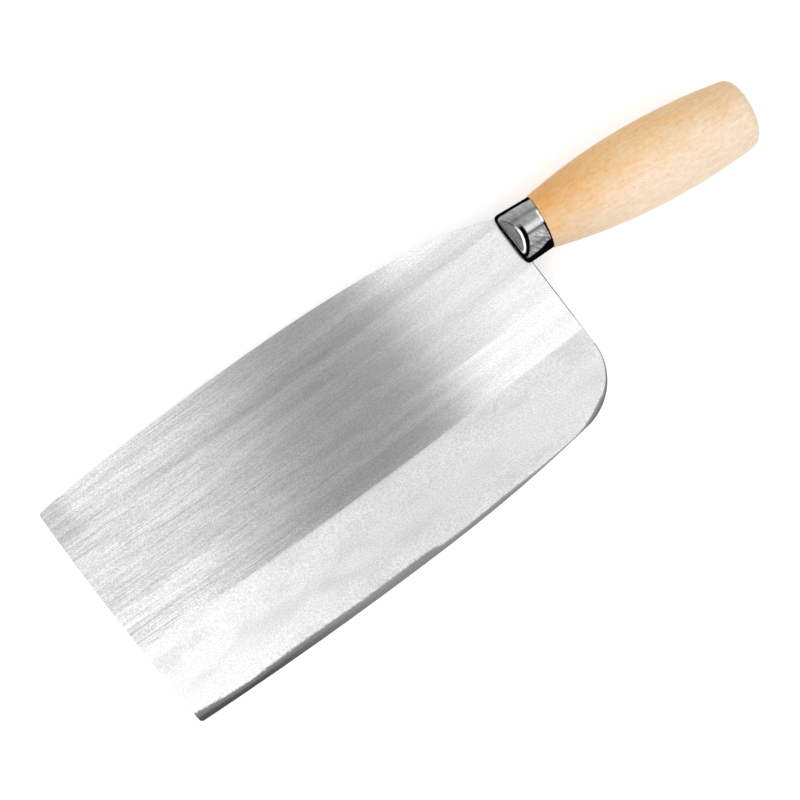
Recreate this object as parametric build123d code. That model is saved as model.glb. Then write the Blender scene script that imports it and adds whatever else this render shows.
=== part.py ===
from build123d import *

import os
from math import asin, cos, degrees, radians, sin, sqrt

# A Chinese cleaver, in millimetres. It is drawn first in the knife's own frame: the straight back end
# of the blade (the heel) is at x = 0, the blade runs towards -X and the handle towards +X, the spine
# is on the +Y side with its front corner at y = 0, and z = 0 halves the thickness of the blade.
# At the end the whole knife is laid on its side, as it rests on a table.

# Blade outline
blade_length = 217.0        # heel to the front corner of the cutting edge
front_height = 105.5        # spine corner to edge corner, at the front
front_lean = 0.9            # how far the spine corner stands ahead of the edge corner
front_bow = 1.1             # outward bow of the front end
front_corner_radius = 1.5
spine_crown = 1.5           # rise of the spine over its front corner
level_back = 101.5          # heel to where the spine is level with its front corner again
shoulder_back = 36.5        # heel to where the spine turns down more steeply
shoulder_fall = 6.8
spine_heel_fall = 17.8      # end of the spine at the heel, under its front corner
belly_back = 95.5           # heel to the lowest point of the cutting edge
belly_drop = 4.3            # lowest point of the edge, under its front corner
heel_rise = 7.1             # how far the edge line has risen again where it meets the heel line
heel_corner_radius = 25.0

# Blade thickness and grinding
plate_thickness = 2.0
plate_ease = 0.25           # chamfer on the spine, the front and the heel
bevel_edge_thickness = 0.7  # what the wide bevel alone leaves at the edge
bevel_front_width = 37.9    # edge to the wide bevel's upper line, at the front end
bevel_heel_width = 30.5     # the same on the heel line, from where the edge line meets it
bevel_bow = 2.1             # bow of that upper line towards the edge
edge_tip_thickness = 0.08
strip_width = 4.2           # sharpened strip, at the front end
strip_length = 171.0        # front corner to where the strip runs out
strip_bow = 1.35
corner_strip_width = 3.6    # the heel corner's own sharpened strip
corner_strip_back = 36.0    # heel to where its upper line starts
corner_strip_drop = 0.3     # how far under the edge its line starts, so that it fades in
corner_strip_rise = 14.0    # its other end on the heel line, from where the edge line meets it
corner_strip_inset = 10.5   # its middle, from where the edge line meets the heel line

# Steel cup between blade and wood
cup_straddle = 2.0          # how far the cup reaches over the heel
cup_reach = 12.2            # heel to the middle of the cup's back rim
cup_back_radius = 11.25
cup_front_radius = 11.75
cup_wall = 1.1
cup_front_wall = 1.2
cup_front_rounding = 1.7
cup_rim_ease = 0.3
cup_droop = 4.9             # degrees from the blade's length down to the cup's axis
facet_width = 16.5          # slanted flat on each side of the cup, along the front wall
facet_length = 4.6          # the same flat, from the front wall to its far point
facet_roll = 5.0            # degrees that the two flats are turned towards the spine
facet_rounding = 0.5

# Neck of the blade, inside the cup
neck_relief = 0.12          # ground off each side of the plate where the cup straddles it
slot_clearance = 0.05
tab_height = 12.0
tab_length = 5.5

# Handle
handle_droop = 8.8          # degrees from the blade's length down to the handle's axis
handle_drop = 29.3          # middle of the cup's back rim, under the front corner of the spine
handle_length = 94.4
neck_radius = 11.65
neck_ease = 0.4
belly_radius = 17.5
belly_at = 52.0             # cup rim to the thickest place
butt_radius = 14.55
butt_dome = 3.0
butt_rounding = 4.5
spigot_length = 5.5
spigot_clearance = 0.1
rim_clearance = 0.05

# Tang and its fixings
tang_radius = 3.25
tang_start = 11.3           # front end of the bar, ahead of the cup's back rim
bore_clearance = 0.25
tab_clearance = 0.05
weld_throat = 1.4
weld_length = 3.6
recess_depth = 4.0          # tip of the butt to the washer's seat
recess_clearance = 0.5
washer_radius = 8.0
washer_thickness = 1.2
washer_clearance = 0.15
rivet_radius = 5.4
rivet_height = 2.0

overrun = 5.0               # how far a cutter runs past what it cuts

half_plate = plate_thickness / 2
half_bevel_edge = bevel_edge_thickness / 2
half_neck = half_plate - neck_relief
edge_low = front_height + belly_drop
edge_at_heel = edge_low - heel_rise
cup_front_at = -(cup_reach + cup_straddle) / cos(radians(cup_droop))
cup_taper = (cup_front_radius - cup_back_radius) / cup_front_at
washer_seat = handle_length - recess_depth


def line_of(droop):
    """A frame at the middle of the cup's back rim, its X axis towards the butt and down by droop."""
    along = (cos(radians(droop)), -sin(radians(droop)), 0)
    return Plane(origin=(cup_reach, -handle_drop, 0), x_dir=along, z_dir=(0, 0, 1))


cup_line = line_of(cup_droop)
handle_line = line_of(handle_droop)
rim_plane = Plane(origin=handle_line.origin, z_dir=handle_line.x_dir)


def turned(profile, line):
    """A solid of revolution about a line's X axis, from a closed profile of (distance, radius)."""
    return line * revolve(make_face(profile), Axis.X)


def bar(line, start, end, radius):
    """A plain round bar."""
    return turned(Polyline((start, 0), (end, 0), (end, radius), (start, radius), close=True), line)


def both_sides(solid):
    """A solid with its mirror image across the plane that halves the blade."""
    return solid + mirror(solid, Plane.XY)


def block(start, end, middle_y, height, low_z, high_z):
    """A block square to the blade, from x = start to x = end."""
    size = Box(end - start, height, high_z - low_z, align=(Align.MIN, Align.CENTER, Align.MIN))
    return Pos(start, middle_y, low_z) * size


def blade_outline():
    """The plate: the spine in three arcs, the heel, the cutting edge in two arcs, and the front."""
    spine_front = Vector(-blade_length - front_lean, 0)
    spine_level = Vector(-level_back, 0)
    crown = (spine_front + spine_level) / 2 + Vector(0, spine_crown)
    spine = ThreePointArc(spine_front, crown, spine_level)
    shoulder = TangentArc(spine_level, (-shoulder_back, -shoulder_fall), tangent=spine % 1)
    fall = TangentArc(shoulder @ 1, (0, -spine_heel_fall), tangent=shoulder % 1)
    heel_foot = Vector(0, -edge_at_heel)
    heel = Line(fall @ 1, heel_foot)
    edge_front = Vector(-blade_length, -front_height)
    lowest = Vector(-belly_back, -edge_low)
    edge_back = TangentArc(lowest, heel_foot, tangent=(1, 0))
    edge_fore = TangentArc(lowest, edge_front, tangent=(-1, 0))
    bow = (edge_front + spine_front) / 2 - Vector(front_bow, 0)
    front = ThreePointArc(edge_front, bow, spine_front)
    plate = make_face([spine, shoulder, fall, heel, edge_back, edge_fore, front])
    for corner, radius in (
        (heel_foot, heel_corner_radius),
        (edge_front, front_corner_radius),
        (spine_front, front_corner_radius),
    ):
        plate = fillet(plate.vertices().sort_by_distance(corner)[0], radius)
    return plate


def ground_off(start, middle, end, half_left, slope):
    """What grinding takes off both sides outside an arc of the blade, sloping down from that arc."""
    line = ThreePointArc(start, middle, end)
    centre, radius = line.arc_center, line.radius
    lead = degrees(overrun / radius)
    swept = degrees(line.length / radius) + 2 * lead
    outwards = (Vector(start) - centre).normalized().rotate(Axis.Z, -lead)
    section_frame = Plane(origin=centre, x_dir=outwards, z_dir=outwards.cross(Vector(0, 0, 1)))
    inside, outside = radius - overrun, radius + front_height
    section = Polyline(
        (inside, half_left + overrun * slope),
        (outside, half_left - front_height * slope),
        (outside, plate_thickness),
        (inside, plate_thickness),
        close=True,
    )
    return both_sides(revolve(section_frame * make_face(section), Axis(centre, (0, 0, 1)), swept))


def tab(grow):
    """The tab behind the heel that the bar is welded to, thicker by a clearance on each side."""
    middle_y = cup_line.from_local_coords((-tang_start, 0, 0)).Y
    return block(-cup_front_wall, tab_length, middle_y, tab_height, -half_neck - grow, half_neck + grow)


def make_blade():
    """One plate: its outline, the wide bevel, the sharpened strips, the relieved neck and the tab."""
    plate = extrude(blade_outline(), half_plate, both=True)
    plate = chamfer(plate.faces().filter_by(Axis.Z).edges(), plate_ease)

    bevel_slope = (half_plate - half_bevel_edge) / bevel_front_width
    bevel_start = Vector(-blade_length, bevel_front_width - front_height)
    bevel_end = Vector(0, bevel_heel_width - edge_at_heel)
    bevel_middle = (bevel_start + bevel_end) / 2 - Vector(0, bevel_bow)
    plate -= ground_off(bevel_start, bevel_middle, bevel_end, half_plate, bevel_slope)

    half_at_strip = half_bevel_edge + strip_width * bevel_slope
    strip_slope = (half_at_strip - edge_tip_thickness / 2) / strip_width
    strip_start = Vector(-blade_length, strip_width - front_height)
    strip_end = Vector(strip_length - blade_length, strip_bow - edge_low)
    strip_middle = (strip_start + strip_end) / 2 - Vector(0, strip_bow)
    plate -= ground_off(strip_start, strip_middle, strip_end, half_at_strip, strip_slope)

    heel_foot = Vector(0, -edge_at_heel)
    edge_radius = (belly_back**2 + heel_rise**2) / (2 * heel_rise)
    along_edge = asin((belly_back - corner_strip_back) / edge_radius)
    edge_rise = edge_radius * (1 - cos(along_edge))
    corner_start = Vector(-corner_strip_back, edge_rise - edge_low - corner_strip_drop)
    corner_middle = heel_foot + Vector(-1, 1).normalized() * corner_strip_inset
    corner_end = heel_foot + Vector(0, corner_strip_rise)
    half_at_corner = half_plate - (bevel_end - corner_middle).Y * bevel_slope
    corner_slope = (half_at_corner - edge_tip_thickness / 2) / corner_strip_width
    plate -= ground_off(corner_start, corner_middle, corner_end, half_at_corner, corner_slope)

    neck_foot = cup_line.from_local_coords((-cup_reach, -cup_front_radius, 0)).Y - slot_clearance
    neck_start = -cup_straddle - slot_clearance
    plate -= both_sides(block(neck_start, overrun, neck_foot / 2, -neck_foot, half_neck, plate_thickness))
    return plate + tab(0)


def cup_cone(wall):
    """The cup's outer shape, drawn in by a wall, and long enough to be cut at both ends."""
    front, back = cup_front_at - overrun, overrun
    front_radius = cup_back_radius + front * cup_taper - wall
    back_radius = cup_back_radius + back * cup_taper - wall
    outline = Polyline((front, 0), (back, 0), (back, back_radius), (front, front_radius), close=True)
    return turned(outline, cup_line)


def cut_between(solid, front, rim):
    """The stretch of a solid between a plane square to the blade and one square to the handle."""
    behind_front = split(solid, Plane(origin=(front, 0, 0), z_dir=(1, 0, 0)), keep=Keep.TOP)
    return split(behind_front, rim_plane.offset(rim), keep=Keep.BOTTOM)


def facet_cutters(wall):
    """What is cut off the cup on each side, or off the room inside it: a slanted flat at its front."""
    front_middle = cup_line.from_local_coords((cup_front_at, 0, 0))
    height = sqrt(cup_front_radius**2 - (facet_width / 2) ** 2)
    rise = degrees(asin((cup_front_radius - height) / facet_length))
    reach = 2 * cup_front_radius
    cutter = Box(reach, reach, reach, align=(Align.CENTER, Align.CENTER, Align.MIN))
    cutter = Pos(0, 0, height) * Rot(Y=-rise) * Pos(0, 0, -wall) * cutter
    return both_sides(Pos(front_middle) * Rot(X=-facet_roll) * cutter)


def cup_room(rim):
    """The room inside the cup's walls, up to a plane square to the handle."""
    room = cut_between(cup_cone(cup_wall), cup_front_wall - cup_straddle, rim)
    return room - facet_cutters(cup_wall)


def make_cup():
    """A thin steel cup: rounded front, slanted flats, open back, and a slot that straddles the heel."""
    cup = cut_between(cup_cone(0), -cup_straddle, 0)
    front_rim = cup.faces().sort_by(Axis.X)[0].edges()
    cup = fillet(front_rim, cup_front_rounding)
    back_rim = cup.faces().sort_by(Axis.X)[-1].edges()
    cup = fillet(back_rim, cup_rim_ease)
    cup -= facet_cutters(0)
    planes = cup.faces().filter_by(GeomType.PLANE)
    flats = planes.sort_by(lambda face: abs(face.normal_at().Z))[-2:]
    cup = fillet(flats.edges(), facet_rounding)
    cup -= cup_room(overrun)
    slot = half_neck + slot_clearance
    height = 2 * (cup_front_radius + overrun)
    cup -= block(-cup_straddle - overrun, slot_clearance, -handle_drop, height, -slot, slot)
    return cup


def make_tang():
    """A round bar, slotted over the tab in front and riveted over at the butt."""
    head_start = washer_seat + rim_clearance + washer_thickness
    head_end = head_start + rivet_height
    tang = bar(handle_line, -tang_start, head_start, tang_radius)
    side = head_start + rivet_height / 4
    crown = TangentArc((head_end, 0), (side, rivet_radius), tangent=(0, 1))
    sides = Polyline((side, rivet_radius), (head_start, rivet_radius), (head_start, 0), (head_end, 0))
    return tang + turned([crown, sides], handle_line) - tab(tab_clearance)


def make_weld():
    """Four short beads, in the corners between the bar and the two faces of the tab."""
    reach = tang_radius + weld_throat
    collar = bar(handle_line, -tang_start, weld_length - tang_start, reach)
    collar -= bar(handle_line, -tang_start - overrun, overrun, tang_radius)
    half = half_neck + weld_throat
    collar &= block(-cup_reach, cup_reach, -handle_drop, 2 * cup_front_radius, -half, half)
    return collar - tab(0)


def make_bedding(blade, tang, weld):
    """Resin poured into the cup round the neck, the bar and the weld, up to the wood."""
    return cup_room(-spigot_length) - blade - tang - weld


def make_handle():
    """A turned barrel with a spigot in the cup, bored through and recessed at the butt."""
    belly = (belly_at, belly_radius)
    neck = (rim_clearance, neck_radius)
    butt_rim = (handle_length - butt_dome, butt_radius)
    tip = (handle_length, 0)
    fore = TangentArc(belly, neck, tangent=(-1, 0))
    aft = TangentArc(belly, butt_rim, tangent=(1, 0))
    dome = TangentArc(tip, butt_rim, tangent=(0, 1))
    ends = Polyline(neck, (rim_clearance, 0), tip)
    profile = make_face([fore, aft, dome, ends])
    for corner, radius in ((butt_rim, butt_rounding), (neck, neck_ease)):
        profile = fillet(profile.vertices().sort_by_distance(corner)[0], radius)
    handle = handle_line * revolve(profile, Axis.X)
    spigot = cup_cone(cup_wall + spigot_clearance)
    spigot = split(spigot, rim_plane.offset(rim_clearance - spigot_length), keep=Keep.TOP)
    handle += split(spigot, rim_plane.offset(overrun), keep=Keep.BOTTOM)
    through = handle_length + overrun
    handle -= bar(handle_line, -tang_start, through, tang_radius + bore_clearance)
    return handle - bar(handle_line, washer_seat, through, washer_radius + recess_clearance)


def make_washer():
    """A flat steel washer on its seat in the butt."""
    start = washer_seat + rim_clearance
    washer = bar(handle_line, start, start + washer_thickness, washer_radius)
    return washer - bar(handle_line, start - overrun, start + overrun, tang_radius + washer_clearance)


def rest_tilt():
    """How far the knife leans, in degrees, with the front of the blade and the handle on the table."""
    front = -blade_length - front_lean
    belly_x = handle_line.from_local_coords((belly_at, 0, 0)).X
    swell = belly_radius - neck_radius
    arc_radius = ((belly_at - rim_clearance) ** 2 + swell**2) / (2 * swell)
    tilt = 0.0
    for _ in range(10):
        across_handle = cos(asin(sin(tilt) * cos(radians(handle_droop))))
        reach_down = arc_radius - (arc_radius - belly_radius) * across_handle
        tilt = asin((reach_down - half_plate * cos(tilt)) / (belly_x - front))
    return degrees(tilt)


blade = make_blade()
tang = make_tang()
weld = make_weld()
pieces = {
    "blade": blade,
    "ferrule_cup": make_cup(),
    "ferrule_bedding": make_bedding(blade, tang, weld),
    "handle_wood": make_handle(),
    "tang_rod": tang,
    "tang_weld": weld,
    "butt_washer": make_washer(),
}

leaning = Rot(Y=-rest_tilt())
box = Compound([leaning * solid for piece in pieces.values() for solid in piece.solids()]).bounding_box()
laid_down = Pos(-box.center().X, -box.center().Y, -box.min.Z) * leaning

os.makedirs("parts", exist_ok=True)
for name, piece in pieces.items():
    export_step(laid_down * Compound(piece.solids()), f"parts/{name}.step")

flat_middle = Vector(-blade_length / 2, -front_height / 3, 0)
for side in (1, -1):
    face = laid_down * Pos(flat_middle + Vector(0, 0, side * half_plate))
    outwards = Plane(laid_down).z_dir * side
    print("flat of the blade", face.position, "facing", outwards)
print("lean", rest_tilt(), "size", box.size)
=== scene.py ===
from math import atan2, ceil, cos, hypot, pi, radians, sin, sqrt

import bpy
from mathutils import Matrix, Vector


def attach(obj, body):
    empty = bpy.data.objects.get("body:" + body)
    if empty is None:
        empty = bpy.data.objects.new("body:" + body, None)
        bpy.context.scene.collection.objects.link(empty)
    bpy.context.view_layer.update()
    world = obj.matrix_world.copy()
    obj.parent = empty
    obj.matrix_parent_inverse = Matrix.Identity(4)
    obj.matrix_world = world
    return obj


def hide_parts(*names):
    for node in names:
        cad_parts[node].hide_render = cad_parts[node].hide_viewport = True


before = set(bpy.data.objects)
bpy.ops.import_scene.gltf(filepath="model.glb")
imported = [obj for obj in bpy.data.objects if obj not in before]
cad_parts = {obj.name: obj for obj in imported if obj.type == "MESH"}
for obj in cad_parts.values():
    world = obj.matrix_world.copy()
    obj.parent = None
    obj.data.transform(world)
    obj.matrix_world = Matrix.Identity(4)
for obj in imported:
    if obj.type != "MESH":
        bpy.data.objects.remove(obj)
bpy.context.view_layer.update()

# --------------------------------------------------------------------------------------------------
# Blade. One plate of stainless steel, 2 mm thick, that tapers to the cutting edge in one wide
# bevel. Both flats are brushed along the blade on a belt, the bevel is blasted matt after its
# grinding, and the narrow strip along the edge, ground last, is bare, with a painted dark
# reflection in its colour.
# --------------------------------------------------------------------------------------------------

MM = 0.001

# The knife lies on its side and leans, because the thick handle holds its back end up. In its own
# frame the heel is at X = 0 with the handle towards +X, the spine is towards +Y with its front
# corner at Y = 0, and Z = 0 halves the plate.
LEAN = radians(3.43826)
HEEL = Vector((56.2681, 54.15, 14.093)) * MM
knife = Matrix.Translation(HEEL) @ Matrix.Rotation(-LEAN, 4, "Y")


def add(tree, kind, inputs=None, **settings):
    """Adds a node with its settings. An input takes a value, a socket, or a node's first output."""
    node = tree.nodes.new(kind)
    for name, value in settings.items():
        setattr(node, name, value)
    for key, value in (inputs or {}).items():
        if isinstance(key, str):
            socket = next(s for s in node.inputs if s.enabled and s.name == key)
        else:
            socket = node.inputs[key]
        if isinstance(value, bpy.types.Node):
            value = next(s for s in value.outputs if s.enabled)
        if isinstance(value, bpy.types.NodeSocket):
            tree.links.new(value, socket)
        else:
            socket.default_value = value
    return node


# Settings that many nodes share: a soft step from one value to another, a mix of two colours, and
# one colour that tints another.
SMOOTH = {"interpolation_type": "SMOOTHSTEP"}
BLEND = {"data_type": "RGBA"}
TINT = {"data_type": "RGBA", "blend_type": "MULTIPLY"}


def linear(hex_colour):
    """An sRGB hex colour as the linear RGBA that shaders take."""
    channels = [int(hex_colour[i : i + 2], 16) / 255 for i in (1, 3, 5)]
    return [c / 12.92 if c <= 0.04045 else ((c + 0.055) / 1.055) ** 2.4 for c in channels] + [1]


def finish_of(name):
    """An empty material, with its node tree and its output node."""
    material = bpy.data.materials.new(name)
    material.use_nodes = True
    material.node_tree.nodes.clear()
    return material, material.node_tree, add(material.node_tree, "ShaderNodeOutputMaterial")


def millimetres(tree, place):
    """Object coordinates turned into a piece's own frame, in millimetres."""
    settings = {
        "Location": place.to_translation(),
        "Rotation": place.to_euler(),
        "Scale": (MM, MM, MM),
        "Vector": add(tree, "ShaderNodeTexCoord").outputs["Object"],
    }
    return add(tree, "ShaderNodeMapping", settings, vector_type="TEXTURE")


def streaks(tree, point, length, width, detail, seed):
    """Noise drawn out along X, in mm: the scratches of one grit, or the fibres of one wood."""
    size = (1 / length, 1 / width, 1 / width)
    shrunk = add(tree, "ShaderNodeVectorMath", {0: point, 1: size}, operation="MULTIPLY")
    moved = add(tree, "ShaderNodeVectorMath", {0: shrunk, 1: (seed, seed, seed)}, operation="ADD")
    return add(tree, "ShaderNodeTexNoise", {"Vector": moved, "Scale": 1.0, "Detail": detail})


def circle_through(a, b, c):
    """Centre and radius of the circle through three points of the blade's side."""
    (ax, ay), (bx, by), (cx, cy) = a, b, c
    turn = 2 * (ax * (by - cy) + bx * (cy - ay) + cx * (ay - by))
    a2, b2, c2 = ax * ax + ay * ay, bx * bx + by * by, cx * cx + cy * cy
    x = (a2 * (by - cy) + b2 * (cy - ay) + c2 * (ay - by)) / turn
    y = (a2 * (cx - bx) + b2 * (ax - cx) + c2 * (bx - ax)) / turn
    return (x, y, 0), hypot(ax - x, ay - y)


# The lines on the blade's side are arcs through these points, in mm.
BEVEL_LINE = circle_through((-217, -67.6), (-108.5, -72.0), (0, -72.2))
EDGE_FORE = circle_through((-217, -105.5), (-95.5, -109.8), (26, -105.5))
EDGE_BACK = circle_through((-191, -102.7), (-95.5, -109.8), (0, -102.7))
LOWEST = -95.5
HEEL_CORNER = ((-25.0, -80.78, 0), 25.0)
CORNER_START = (-22.2, -80.78)
BLADE_LENGTH = 217.0


def above(tree, side_point, line):
    """How far, in mm, a point of the blade's side lies inside one of its arcs."""
    centre, radius = line
    away = add(tree, "ShaderNodeVectorMath", {0: side_point, 1: centre}, operation="DISTANCE")
    return add(tree, "ShaderNodeMath", {0: radius, 1: away.outputs["Value"]}, operation="SUBTRACT")


# Stainless steel, belt-brushed, with a blasted bevel. The eye sees fine streaks along the blade, a
# reflection of the room that is drawn out across them, and a pale bevel that reflects nothing
# sharply.
brushed_steel, tree, out = finish_of("brushed_stainless_steel")
place = millimetres(tree, knife)
axes = add(tree, "ShaderNodeSeparateXYZ", {0: place})
side_point = add(tree, "ShaderNodeCombineXYZ", {"X": axes.outputs["X"], "Y": axes.outputs["Y"]})
above_bevel = above(tree, side_point, BEVEL_LINE)
on_bevel = add(tree, "ShaderNodeMapRange", {0: above_bevel, 1: 0.1, 2: -1.7}, **SMOOTH)

# The belt ran along the bevel line, so its scratches are concentric with it. They are deepest in
# front, and near the heel the belt has polished them away. Real scratches and blasted pits are
# under 0.1 mm wide, so both are drawn here as coarse as they need to be to show.
lanes = add(tree, "ShaderNodeCombineXYZ", {"X": axes.outputs["X"], "Y": above_bevel})
depth = add(
    tree,
    "ShaderNodeMapRange",
    {0: axes.outputs["X"], 1: -70.0, 2: -195.0, 3: 0.2, 4: 1.0},
    **SMOOTH,
)
broad = streaks(tree, lanes, 80.0, 7.0, 3.0, 3.1)
fine = streaks(tree, lanes, 14.0, 0.75, 2.0, 8.4)
scores = streaks(tree, lanes, 38.0, 0.7, 1.0, 27.3)
nap = streaks(tree, lanes, 9.0, 0.5, 1.0, 12.6)
grain = streaks(tree, place, 0.7, 0.5, 1.0, 5.7)
clouds = streaks(tree, place, 30.0, 12.0, 2.0, 21.9)
bite = add(tree, "ShaderNodeMath", {0: depth, 1: 0.5, 2: 0.53}, operation="MULTIPLY_ADD")
tone = linear("#f5f5f6")
for mark, low, high, dark, force in (
    (broad, 0.32, 0.68, 0.92, bite),
    (fine, 0.3, 0.7, 0.82, depth),
    (scores, 0.68, 0.61, 0.8, depth),
    (nap, 0.25, 0.75, 0.88, bite),
    (grain, 0.25, 0.75, 0.7, bite),
):
    shade = add(tree, "ShaderNodeMapRange", {0: mark, 1: low, 2: high, 3: dark, 4: 1.0}, **SMOOTH)
    tone = add(tree, "ShaderNodeMix", {"Factor": force, "A": tone, "B": shade}, **TINT)

# Each pass of the belt left a lane a little brighter or duller than the next. These are the lanes'
# tones, by how far across the flats they lie, from the bevel line to the spine.
LANE_TONES = (
    (0.0, 0.84),
    (0.04, 0.84),
    (0.095, 0.77),
    (0.15, 0.85),
    (0.19, 0.82),
    (0.235, 0.87),
    (0.3, 0.82),
    (0.36, 0.85),
    (0.41, 0.86),
    (0.46, 0.83),
    (0.57, 0.9),
    (0.61, 0.86),
    (0.71, 0.9),
    (0.74, 0.78),
    (0.78, 0.84),
    (0.83, 0.89),
    (0.855, 0.98),
    (0.9, 0.9),
    (1.0, 1.0),
)
FLATS_WIDTH = 72.0


def curve_through(node, points):
    """Draws the line of a Float Curve through a row of points."""
    line = node.mapping.curves[0]
    line.points[0].location, line.points[1].location = points[0], points[-1]
    for point in points[1:-1]:
        line.points.new(*point)
    node.mapping.update()


lane = add(tree, "ShaderNodeMath", {0: above_bevel, 1: 1 / FLATS_WIDTH}, operation="MULTIPLY")
lane_tone = add(tree, "ShaderNodeFloatCurve", {"Value": lane})
curve_through(lane_tone, LANE_TONES)
tone = add(tree, "ShaderNodeMix", {"Factor": 1.0, "A": tone, "B": lane_tone}, **TINT)

# Painted highlight: near the heel, the lanes along the bevel and along the spine are painted
# brighter, and so is the one along the bevel at the front.
heel = add(tree, "ShaderNodeMapRange", {0: axes.outputs["X"], 1: -78.0, 2: -38.0}, **SMOOTH)
front = add(
    tree,
    "ShaderNodeMapRange",
    {0: axes.outputs["X"], 1: -150.0, 2: -195.0, 3: 0.0, 4: 0.55},
    **SMOOTH,
)
low_lane = add(tree, "ShaderNodeMapRange", {0: above_bevel, 1: 18.2, 2: 16.4}, **SMOOTH)
high_lane = add(
    tree, "ShaderNodeMapRange", {0: above_bevel, 1: 60.5, 2: 65.5, 3: 0.0, 4: 0.7}, **SMOOTH
)
ends = add(tree, "ShaderNodeMath", {0: heel, 1: front}, operation="MAXIMUM")
low_lane = add(tree, "ShaderNodeMath", {0: low_lane, 1: ends}, operation="MULTIPLY")
high_lane = add(tree, "ShaderNodeMath", {0: high_lane, 1: heel}, operation="MULTIPLY")
last_lane = add(tree, "ShaderNodeMapRange", {0: above_bevel, 1: 33.5, 2: 29.5}, **SMOOTH)
far_heel = add(
    tree, "ShaderNodeMapRange", {0: axes.outputs["X"], 1: -42.0, 2: -18.0, 3: 0.0, 4: 0.5}, **SMOOTH
)
last_lane = add(tree, "ShaderNodeMath", {0: last_lane, 1: far_heel}, operation="MULTIPLY")
painted_highlight = add(tree, "ShaderNodeMath", {0: low_lane, 1: last_lane}, operation="MAXIMUM")
painted_highlight = add(tree, "ShaderNodeMath", {0: painted_highlight, 1: high_lane}, operation="MAXIMUM")
tone = add(
    tree, "ShaderNodeMix", {"Factor": painted_highlight, "A": tone, "B": (1.24, 1.24, 1.24, 1)}, **TINT
)

# The first centimetre of the spine's third is made darker.
front_darkening = add(
    tree,
    "ShaderNodeMapRange",
    {0: axes.outputs["X"], 1: -202.0, 2: -212.0, 3: 0.0, 4: 0.2},
    **SMOOTH,
)
front_darkening = add(
    tree,
    "ShaderNodeMath",
    {0: front_darkening, 1: add(tree, "ShaderNodeMapRange", {0: above_bevel, 1: 42.0, 2: 60.0}, **SMOOTH)},
    operation="MULTIPLY",
)
front_darkening = add(tree, "ShaderNodeMath", {0: 1.0, 1: front_darkening}, operation="SUBTRACT")
tone = add(tree, "ShaderNodeMix", {"Factor": 1.0, "A": tone, "B": front_darkening}, **TINT)
speckle = add(tree, "ShaderNodeMapRange", {0: grain, 1: 0.2, 2: 0.8}, **SMOOTH)
blast = add(tree, "ShaderNodeMapRange", {0: axes.outputs["X"], 1: -145.0, 2: -95.0}, **SMOOTH)
pits = add(
    tree,
    "ShaderNodeMix",
    {"Factor": blast, "A": linear("#dadadc"), "B": linear("#d8d8d9")},
    **BLEND,
)
peaks = add(
    tree,
    "ShaderNodeMix",
    {"Factor": blast, "A": linear("#fefeff"), "B": linear("#f9f9f9")},
    **BLEND,
)
matt = add(tree, "ShaderNodeMix", {"Factor": speckle, "A": pits, "B": peaks}, **BLEND)
cloud_shade = add(
    tree,
    "ShaderNodeMapRange",
    {
        0: clouds,
        1: 0.28,
        2: 0.56,
        3: add(tree, "ShaderNodeMath", {0: blast, 1: 0.06, 2: 0.85}, operation="MULTIPLY_ADD"),
    },
    **SMOOTH,
)
matt = add(tree, "ShaderNodeMix", {"Factor": 1.0, "A": matt, "B": cloud_shade}, **TINT)

# The bevel is a little darker beside the bevel line, and again halfway down. These are its tones,
# by how far down the bevel they lie.
BEVEL_TONES = (
    (0.0, 0.96),
    (0.1, 0.99),
    (0.3, 1.0),
    (0.45, 1.0),
    (0.65, 0.98),
    (0.8, 1.0),
    (1.0, 1.0),
)
BEVEL_WIDTH = 38.0
down = add(tree, "ShaderNodeMath", {0: above_bevel, 1: -1 / BEVEL_WIDTH}, operation="MULTIPLY")
bevel_tone = add(tree, "ShaderNodeFloatCurve", {"Value": down})
curve_through(bevel_tone, BEVEL_TONES)
matt = add(tree, "ShaderNodeMix", {"Factor": 1.0, "A": matt, "B": bevel_tone}, **TINT)
colour = add(tree, "ShaderNodeMix", {"Factor": on_bevel, "A": tone, "B": matt}, **BLEND)

# The sharpened strip was ground by hand, so its width wanders: these are its widths, in cm, along
# the edge from the front to the heel. Its greys are a painted dark reflection: darker on its lower
# half, and darkest in front and round the heel.
STRIP_WIDTHS = (
    (0.0, 0.47),
    (0.03, 0.43),
    (0.09, 0.33),
    (0.12, 0.32),
    (0.17, 0.37),
    (0.25, 0.4),
    (0.4, 0.35),
    (0.5, 0.36),
    (0.53, 0.33),
    (0.56, 0.21),
    (0.7, 0.19),
    (0.8, 0.09),
    (0.87, 0.06),
    (0.9, 0.14),
    (0.93, 0.22),
    (0.955, 0.14),
    (1.0, 0.03),
)
behind_lowest = add(
    tree, "ShaderNodeMath", {0: axes.outputs["X"], 1: LOWEST}, operation="GREATER_THAN"
)
above_edge = add(
    tree,
    "ShaderNodeMix",
    {
        "Factor": behind_lowest,
        "A": above(tree, side_point, EDGE_FORE),
        "B": above(tree, side_point, EDGE_BACK),
    },
)
round_corner = add(
    tree, "ShaderNodeMath", {0: axes.outputs["X"], 1: CORNER_START[0]}, operation="GREATER_THAN"
)
under_heel = add(
    tree, "ShaderNodeMath", {0: axes.outputs["Y"], 1: CORNER_START[1]}, operation="LESS_THAN"
)
round_corner = add(tree, "ShaderNodeMath", {0: round_corner, 1: under_heel}, operation="MULTIPLY")
above_edge = add(
    tree,
    "ShaderNodeMix",
    {"Factor": round_corner, "A": above_edge, "B": above(tree, side_point, HEEL_CORNER)},
)
way = add(
    tree,
    "ShaderNodeMapRange",
    {"Value": axes.outputs["X"], "From Min": -BLADE_LENGTH, "From Max": 0.0},
)
width = add(tree, "ShaderNodeFloatCurve", {"Value": way})
curve_through(width, STRIP_WIDTHS)
width = add(tree, "ShaderNodeMath", {0: width, 1: 10.0}, operation="MULTIPLY")
height = add(tree, "ShaderNodeMath", {0: above_edge, 1: width}, operation="DIVIDE")
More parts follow.
